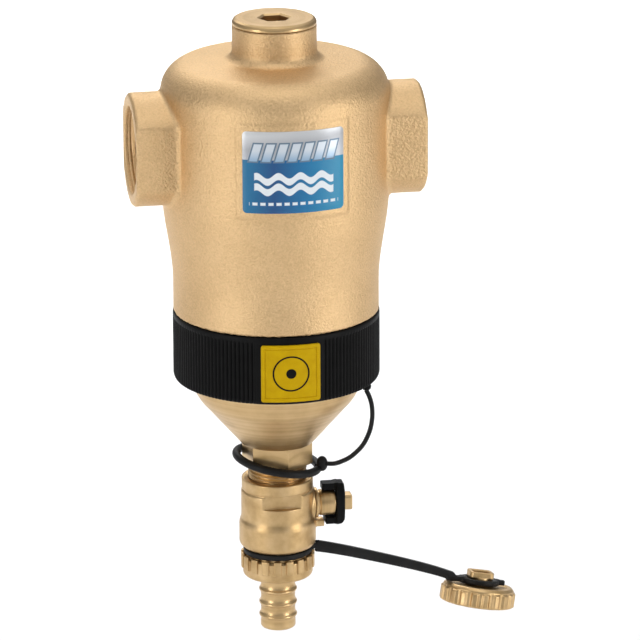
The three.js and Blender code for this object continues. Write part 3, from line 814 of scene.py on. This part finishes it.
def front_label():
    """The foil, 0.2 mm thick, on its pad."""
    depth = (LABEL_HIGH - LABEL_LOW) / 2
    insets = [depth * k / 8 for k in range(8, 0, -1)]
    back = PAD_R - 0.1
    edge = [(0.05, back), (0, LABEL_R - 0.12), (0.03, LABEL_R - 0.03), (0.12, LABEL_R)]
    rings = [*[(k, back) for k in insets], *edge, *[(k, LABEL_R) for k in reversed(insets)]]
    return curved_panel("label", 0, LABEL_HALF, LABEL_LOW, LABEL_HIGH, 1.6, rings, LABEL_R)


def ring_plate():
    """A thin plate with a raised rim, standing just off the ring."""
    back, face, rim = RING_R - 0.2, RING_R + 0.62, RING_R + 0.88
    depth = (PLATE_HIGH - PLATE_LOW) / 2
    groove = face - 0.12
    rings = [(depth, back), (depth / 2, back), (0.2, back), (0, back + 0.3), (0, rim - 0.25),
             (0.08, rim - 0.08), (0.3, rim), (1.2, rim), (1.35, rim - 0.04), (1.45, face + 0.05),
             (1.5, groove), (1.7, groove), (1.78, face), *[(k, face) for k in np.linspace(2.0, depth, 6)]]
    return curved_panel("plate", PLATE_FACING, PLATE_HALF, PLATE_LOW, PLATE_HIGH, 0.9, rings, RING_R)


def plate_mark():
    """A plain printed mark, a round outline with a dot, lying on the plate."""
    face, sides = RING_R + 0.68, 64
    back, middle = face - 0.1, (PLATE_LOW + PLATE_HIGH) / 2
    inner, outer, dot_r = 6.35, 6.95, 1.9

    def bent(radius, angle, height):
        u, v = radius * cos(angle), radius * sin(angle)
        turn = PLATE_FACING + u / RING_R
        return (height * sin(turn), -height * cos(turn), middle + v)

    def mark(name, rings, closed):
        turns = [2 * pi * k / sides for k in range(sides)]
        return lofted(name, [[bent(r, turn, h) for turn in turns] for r, h in rings], closed)

    outline = mark("mark_outline", ((inner, back), (outer, back), (outer, face), (inner, face)), True)
    dot = mark("mark_dot", ((0, back), (dot_r, back), (dot_r, face), (1.0, face), (0, face)), False)
    return joined("mark", [outline, dot])


def tether_lug():
    outline = [(0, -93.65), *reversed(arc(1.05, -93.2, 0.45, 0, -80, 4)), (1.75, -93.1), (1.9, -92.3),
               (1.85, -91.9), (0, -91.9)]
    x, y, _ = TETHER_ROUTE[0]
    return turned("lug", outline, 40, place=Matrix.Translation((x * MM, y * MM, 0)))


# ---- tether
TETHER_ROUTE = [(31.1, -20.5, -93.9), (32.2, -20.8, -96.4), (33.0, -20.9, -99.3), (33.4, -20.6, -102.6),
                (33.4, -20.0, -106.0), (33.0, -19.0, -109.7), (32.1, -17.6, -113.5), (30.7, -15.8, -117.3),
                (28.7, -13.8, -120.6), (26.1, -11.8, -123.6), (23.2, -9.8, -125.7), (20.7, -8.2, -126.9),
                (18.0, -6.2, -127.4)]
TETHER_R, LOOP_CORD_R = 0.9, 1.6
BEAD = Vector((16.6, -5.2, -127.6))


def smooth_route(points, per_span):
    """Catmull-Rom points through a route."""
    points = [Vector(p) for p in points]
    ends = [points[0] * 2 - points[1], *points, points[-1] * 2 - points[-2]]
    result = []
    for a, b, c, d in zip(ends, ends[1:], ends[2:], ends[3:]):
        for k in range(per_span):
            t = k / per_span
            result.append(0.5 * (2 * b + (c - a) * t + (2 * a - 5 * b + 4 * c - d) * t * t
                                 + (3 * b - a - 3 * c + d) * t ** 3))
    return [*result, points[-1]]


def tube(name, route, radius, sides):
    """A round tube along a route, closed flat at both ends."""
    rows = []
    side = None
    for i, point in enumerate(route):
        along = (route[min(i + 1, len(route) - 1)] - route[max(i - 1, 0)]).normalized()
        side = (side if side is not None else along.orthogonal()).normalized()
        side = (side - along * side.dot(along)).normalized()
        other = along.cross(side)
        turns = [2 * pi * k / sides for k in range(sides)]
        rows.append([point + (side * cos(turn) + other * sin(turn)) * radius for turn in turns])
    return lofted(name, [[route[0]] * sides, *rows, [route[-1]] * sides])


def loop_route():
    """Round the neck from one side of the bead to the other, lower towards +X."""
    start, spare, radius, steps = atan2(BEAD.y, BEAD.x), radians(6), 15.7, 96
    points = []
    for k in range(steps + 1):
        angle = start - spare - (2 * pi - 2 * spare) * k / steps
        x, y = radius * cos(angle), radius * sin(angle)
        points.append(Vector((x, y, -126.8 - 0.19 * x + 0.02 * y)))
    return points


def tether_bead():
    """The moulded head that closes the loop: an upright egg with a groove round it."""
    width, height, groove_r, groove_z, groove_half = 2.2, 3.0, 2.35, 0.3, 0.35

    def field(x, y, z):
        u, v, w = x - BEAD.x, y - BEAD.y, z - BEAD.z
        ball = (np.sqrt((u * u + v * v) / width ** 2 + (w / height) ** 2) - 1) * 2.3
        groove = hypot(hypot(u, v) - groove_r, w - groove_z) - groove_half
        return blend_max(ball, -groove, 0.3)

    reach = Vector((3, 3, 4))
    return field_mesh("bead", field, BEAD - reach, BEAD + reach, 0.18)


# ---- drain valve
STEM_Z = -145.1
ALONG_X = Matrix.Translation((0, 0, STEM_Z * MM)) @ Matrix.Rotation(radians(90), 4, "Y")


def valve_body():
    outline = outline_field([(0, -161.2), (12.9, -161.2), *arc(12.1, -158.5, 2.7, -70, 0, 10), (14.8, -151.8),
                             (14.6, -150.6), (14.1, -149.3), (14.0, -148.3), (14.0, -138.6), (13.85, -138.25),
                             (13.45, -138.0), (13.45, -137.6), (13.75, -137.2), (13.75, -133.5), (13.5, -133.2),
                             (0, -133.2)], 0.08, 3)
    flat_y, flat_low, flat_high = 11.7, -142.9, -137.3
    boss_r, outlet_r, ball_r = 6.4, 11.6, 7.2

    def field(x, y, z):
        r, w = hypot(x, y), z - STEM_Z
        stem = hypot(y, w)
        solid = blend_min(outline(r, z), blend_max(stem - boss_r, abs(x - 7) - 7.0, 0.4), 1.0)
        lug = box_field(x, y, w, (15.2, 0, -7.9), (2.4, 1.9, 0.9)) - 0.4
        solid = blend_min(solid, lug, 0.6)
        flat = maximum(flat_y - abs(y), maximum(flat_low - z, z - flat_high))
        solid = blend_max(solid, -flat, 0.25)
        solid = minimum(solid, blend_max(r - outlet_r, abs(z + 164.6) - 3.8, 0.2))
        chamber = bore(r, ball_r, -abs(w), -ball_r)
        return emptied(solid, bore(r, 11.1, z, -138.3), bore(r, 4.7, -z, 140), chamber,
                       bore(stem, 3.95, x, 4), bore(stem, 5.2, x, 9.6), bore(stem, 6.2, x, 14.0))

    body = field_mesh("valve", field, (-15.5, -15.5, -169.2), (18.5, 15.5, -132.4), 0.3)
    thread = thread_sleeve(12.5, 11.5, -168.2, -164.4, 1.8, inside=False)
    return joined("valve", [body, thread])


def stem_gland():
    bore_r, flange, waist, barrel, start, end = 3.9, 5.9, 4.7, 5.1, 11.2, 22.1
    outline = softened([(bore_r, start), (4.9, start), (4.9, 14.3), (flange, 14.3, 0.2), (flange, 15.4, 0.35),
                        (waist, 15.7), (waist, 16.1), (barrel, 16.4, 0.2), (barrel, end, 0.35),
                        (bore_r, end)], 4)
    return turned("gland", outline, 96, place=ALONG_X)


def valve_stem():
    """Round shank, tang in the ball, and the square end whose corners are turned off."""
    shaft_r, half_square, corner_r, half_tang = 3.6, 3, 3.75, 1.2

    def field(x, y, z):
        w = z - STEM_Z
        r = hypot(y, w)
        shaft = maximum(r - shaft_r, abs(x - 14.7) - 7.5)
        square = blend_max(blend_max(abs(y) - half_square, abs(w) - half_square, 0.2), r - corner_r, 0.2)
        square = blend_max(square, abs(x - 25.45) - 3.45, 0.4)
        tang = maximum(maximum(abs(y) - half_tang, abs(w) - half_square), abs(x - 6.5) - 1.2)
        return minimum(minimum(shaft, square), tang)

    return field_mesh("stem", field, (4.8, -4.4, STEM_Z - 4.4), (29.6, 4.4, STEM_Z + 4.4), 0.2)


def valve_handle():
    """The black key: a plate with a rounded outline and two short legs bent in over the gland."""
    top_w, bore_r, groove_r = 8.1, 4.05, 4.7
    halves = (3.6, 4.3, 5.0, 5.5, 5.5, 5.2, 4.6, 2.5)
    heights = (-top_w, -7.0, -5.2, -2.5, 2.0, 4.0, 5.9, top_w)

    def field(x, y, z):
        w = z - STEM_Z
        slab = abs(x - 24.05) - 1.65
        plate = (abs(y) - np.interp(w, heights, halves)) * 0.9
        plate = blend_max(maximum(plate, abs(w) - top_w), slab, 0.7)
        top = box_field(x, y, w, (20.2, 0, 6.75), (2.7, 2.1, 0.95)) - 0.4
        low = box_field(x, y, w, (21.0, 0, -6.75), (2.2, 3.1, 0.95)) - 0.4
        solid = blend_min(blend_min(plate, top, 0.9), low, 0.9)
        solid = blend_max(solid, ((x - 25.7) * 1.7 - (w + 6.4)) / 1.97, 0.4)
        r = hypot(y, w)
        solid = blend_max(solid, -maximum(abs(r - groove_r) - 0.25, 25.45 - x), 0.2)
        return maximum(solid, bore_r - r)

    return field_mesh("handle", field, (16.7, -6.2, STEM_Z - 9), (26.4, 6.2, STEM_Z + 9), 0.22)


# ---- union nut and hose tail
def phase_of(x, y, count):
    """0 in the middle of each of count ribs round a grip, 0.5 halfway between them."""
    return abs(np.mod(np.arctan2(y, x) * count / (2 * pi) + 0.5, 1) - 0.5)


def union_nut():
    """The ribbed nut: its grip pads stand up past the rim like a crown."""
    count, share, rim_r, pad_r, pad_root, thread_r = 18, 0.6, 13.5, 14.3, 13.05, 12.8

    def field(x, y, z):
        r = hypot(x, y)
        aside = (phase_of(x, y, count) - share / 2) * 2 * pi * 14 / count
        base = blend_max(r - rim_r, abs(z + 169.1) - 3.9, 0.3)
        foot = (r - 12.6 - (z + 173)) * SLANT
        pad = blend_max(blend_max(aside, r - pad_r, 0.35), abs(z + 166.75) - 2.85, 0.35)
        solid = minimum(blend_max(base, foot, 0.6), maximum(pad, pad_root - r))
        return emptied(solid, bore(r, thread_r, z, -171.7), r - 8.2)

    return field_mesh("nut", field, (-15, -15, -173.6), (15, 15, -163.3), 0.28)


def hose_tail():
    stalk_r, bore_r, flange_r, top, foot = 6.6, 4.7, 11.8, -170.2, -194.6
    barbs = []
    for z in (-179.0, -184.3, -189.4):
        barbs += [(stalk_r, z + 2.3), (6.7, z + 1.5), *arc(stalk_r, z, 0.75, 62, -62, 8), (6.7, z - 1.5)]
    outline = [(bore_r, foot), (bore_r, top), (flange_r, top), (flange_r, -171.4), (7.1, -171.4), (7.0, -174.6),
               (stalk_r, -175.6), *barbs, (6.75, -191.6), *arc(5.75, -193.6, 1.0, 0, -80, 6), (5.4, foot)]
    return turned("tail", outline[::-1], 128, crease=50)


# ---- cap and strap
CAP_TILT, CAP_LEAN = radians(10), radians(9)
CAP_X, CAP_Z = 79.6, -183.1
CAP_PLACE = Matrix.Translation((CAP_X * MM, 0, CAP_Z * MM)) @ Matrix.Rotation(CAP_TILT, 4, "Y") \
    @ Matrix.Rotation(-CAP_LEAN, 4, "X")
STRAP_LINE = [(13.2, 0, -162.5), (18.4, 0, -163.5), (28, 0, -165.9), (40, 0, -169.3), (51, 0, -172.6),
              (61, 0, -175.9), (68.5, 0, -178.8)]


def in_cap(x, y, z):
    """Coordinates round the cap's own axis, its top face at zero."""
    u, w = x - CAP_X, z - CAP_Z
    u, w = u * cos(CAP_TILT) - w * sin(CAP_TILT), u * sin(CAP_TILT) + w * cos(CAP_TILT)
    return u, y * cos(CAP_LEAN) - w * sin(CAP_LEAN), y * sin(CAP_LEAN) + w * cos(CAP_LEAN)


def strap():
    """Collar, tapering strap and eyelet, moulded in one; the strap stays clear of the valve and the nut."""
    line = smooth_route(STRAP_LINE, 5)
    collar_r, eyelet_r, valve_clear, nut_clear = 12.6, 6.3, 14.6, 14.9

    def field(x, y, z):
        r = hypot(x, y)
        collar = blend_max(abs(r - collar_r) - 0.7, abs(z + 162.55) - 1.05, 0.4)
        ribbon, share = np.full(x.shape, 1e3), np.zeros(x.shape)
        for i, (a, b) in enumerate(zip(line, line[1:])):
            ex, ez = b.x - a.x, b.z - a.z
            t = np.clip(((x - a.x) * ex + (z - a.z) * ez) / (ex * ex + ez * ez), 0, 1)
            away = hypot(x - a.x - t * ex, z - a.z - t * ez)
            closer = away < ribbon
            ribbon = np.where(closer, away, ribbon)
            share = np.where(closer, (i + t) / len(line), share)
        high = 2.3 - 0.75 * share
        spine = np.clip(1.4 - 0.25 * np.clip(ribbon - 0.5, 0, 2), 0.8, 1.4)
        strip = blend_max(ribbon - high, abs(y) - spine, 0.5)
        strip = blend_max(strip, -bore(r, valve_clear, -z, 163.5), 0.3)
        strip = blend_max(strip, -bore(r, nut_clear, z, -161.5), 0.3)
        u, v, w = in_cap(x, y, z)
        flat = abs(w - 1.4) - 1.0
        eyelet = blend_max(abs(hypot(u, v) - eyelet_r) - 1.3, flat, 0.4)
        neck = blend_max(maximum(abs(v) - 2.0, abs(u + 9.9) - 3.4), flat, 0.4)
        nib = blend_max(blend_max(abs(v) - 1.3, abs(u - 8.3) - 1.7, 0.6), flat, 0.4)
        loop = blend_min(blend_min(eyelet, nib, 0.8), neck, 1.2)
        return blend_min(blend_min(collar, strip, 1.2), loop, 1.2)

    return field_mesh("strap", field, (-14.8, -14.8, -184.9), (90.6, 14.8, -161.0), 0.36)


def drain_cap():
    """The knurled cap with the square-socket key stub on its top."""
    ribs, rib_share, rib_high, skirt_r, half_skirt, half_socket = 20, 0.58, 0.8, 13.85, 3.8, 3.2

    def field(x, y, z):
        r = hypot(x, y)
        rib = np.clip((rib_share / 2 - phase_of(x, y, ribs)) / 0.2 + 0.5, 0, 1)
        knob = rib_high * rib * np.clip((-1.5 - z) / 0.5, 0, 1) * np.clip((z + 7.5) / 0.5, 0, 1)
        skirt = blend_max(r - skirt_r - knob, abs(z + half_skirt) - half_skirt, 0.5)
        skirt = maximum(skirt, (r + z - 12.9) * SLANT)
        dish = maximum(abs(r - 8.4) - 2.6, -0.35 - z)
        skirt = blend_max(skirt, -dish, 0.25)
        stub = blend_max(r - 4.6, abs(z - 1) - 1.9, 0.3)
        key = blend_max(box_field(x, y, z, (0, 0, 3.9), (4.4, 3.7, 0.8)) - 0.5, r - 5.6, 0.4)
        solid = blend_min(blend_min(skirt, stub, 0.4), key, 0.4)
        square = maximum(abs(x), abs(y)) - half_socket
        bevel = maximum(square - (z - 4.8), 4.8 - z)
        return emptied(solid, bore(r, 12.4, -z, 2.2), maximum(square, 1.5 - z), bevel)

    cap = field_mesh("cap", field, (-15.4, -15.4, -8), (15.4, 15.4, 5.8), 0.28)
    thread = thread_sleeve(11.9, 12.6, -7.0, -4.2, 1.8, inside=True)
    whole = joined("cap", [cap, thread])
    whole.data.transform(CAP_PLACE)
    return whole


# ---- making
def put(piece, body, finish, slot, *nodes):
    """Gives a piece its finish and the body it moves with, and hides the CAD nodes it stands for."""
    piece.data.materials.clear()
    piece.data.materials.append(finish)
    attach(piece, body)
    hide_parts(*nodes)


def make_tether(black):
    line = smooth_route(TETHER_ROUTE, 8)
    cord = tube("tether", line, TETHER_R, 16)
    cord.data.materials.append(black)
    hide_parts("tether_cord")
    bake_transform(cord)
    route = [tuple(c * MM for c in p) for p in line]
    length = sum((Vector(b) - Vector(a)).length for a, b in zip(route, route[1:]))
    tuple(route[0])


def finish_hidden_nodes(plastic, rubber, magnet):
    """The inner parts keep their CAD shapes."""
    pale = plastic_material("element_pale", (0.62, 0.6, 0.55), (0.7, 0.68, 0.63), (0.4, 0.55))
    white = plastic_material("seat_white", (0.72, 0.72, 0.7), (0.8, 0.8, 0.78), (0.3, 0.45))
    chrome = plastic_material("ball_chrome", (0.6, 0.61, 0.62), (0.7, 0.71, 0.72), (0.08, 0.16), depth=0.003,
                              metallic=1.0)
    finishes = ((plastic, "element_frame ring_liner"), (pale, "element_core"),
                (mesh_steel_material(), "element_mesh"), (white, "seat_upper seat_lower"),
                (rubber, "plug_seal chamber_seal stem_seal tail_gasket cap_gasket"), (chrome, "valve_ball"),
                (magnet, "magnet_1 magnet_2 magnet_3 magnet_4 magnet_5 magnet_6"))
    for finish, names in finishes:
        for name in names.split():
            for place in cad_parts[name].material_slots:
                place.material = finish


def build():
    cast, forged = cast_brass_material(), forged_brass_material()
    machined, machined_x = turned_brass_material("turned_brass"), turned_brass_material("turned_brass_x", True)
    satin = (0.4, 0.55)
    cord_black = plastic_material("black_cord", grey(0.005), grey(0.009), satin, 0.25, gloss=0.2)
    ring_black = plastic_material("black_plastic", grey(0.003), grey(0.005), satin, 0.3, gloss=0.1)
    strap_black = plastic_material("black_strap", grey(0.007), grey(0.012), (0.42, 0.56), 0.3, gloss=0.2)
    rubber = plastic_material("seal_rubber", grey(0.01), grey(0.02), (0.6, 0.8), 0.2)
    frame_plastic = plastic_material("element_plastic", (0.02, 0.02, 0.023), (0.035, 0.035, 0.04), (0.4, 0.6))
    magnet = plastic_material("magnet_metal", (0.3, 0.3, 0.31), (0.42, 0.42, 0.43), (0.25, 0.4), metallic=1.0)
    make_tether(cord_black)
    put(tether_bead(), "root", cord_black, "black_cord", "tether_bead")
    put(tube("loop", loop_route(), LOOP_CORD_R, 20), "root", cord_black, "black_cord", "tether_loop")
    put(tether_lug(), "magnet_ring", ring_black, "black_plastic", "tether_lug")

    put(main_body(), "root", cast, "cast_brass", "main_body")
    put(front_label(), "root", label_material(), "label_foil", "front_label")
    put(top_plug(), "top_plug", machined, "turned_brass", "top_plug")
    put(dirt_chamber(), "root", machined, "turned_brass", "dirt_chamber")
    put(ring_shell(), "magnet_ring", ring_black, "black_plastic", "ring_shell")
    put(ring_plate(), "magnet_ring", plate_material(), "plate_yellow", "ring_plate")
    put(plate_mark(), "magnet_ring", ring_black, "black_plastic")

    put(valve_body(), "root", forged, "cast_brass", "valve_body")
    put(stem_gland(), "root", machined_x, "turned_brass", "stem_gland")
    put(valve_stem(), "valve_key", machined_x, "turned_brass", "valve_stem")
    put(valve_handle(), "valve_key", ring_black, "black_plastic", "valve_handle")
    put(union_nut(), "union_nut", forged, "turned_brass", "union_nut")
    put(hose_tail(), "hose_tail", machined, "turned_brass", "hose_tail")
    put(drain_cap(), "drain_cap", forged, "turned_brass", "drain_cap")
    belt = strap()
    belt.data.materials.append(strap_black)
    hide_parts("strap_collar", "cap_strap")
    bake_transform(belt)
    finish_hidden_nodes(frame_plastic, rubber, magnet)


place_camera()
build()
light_stage()
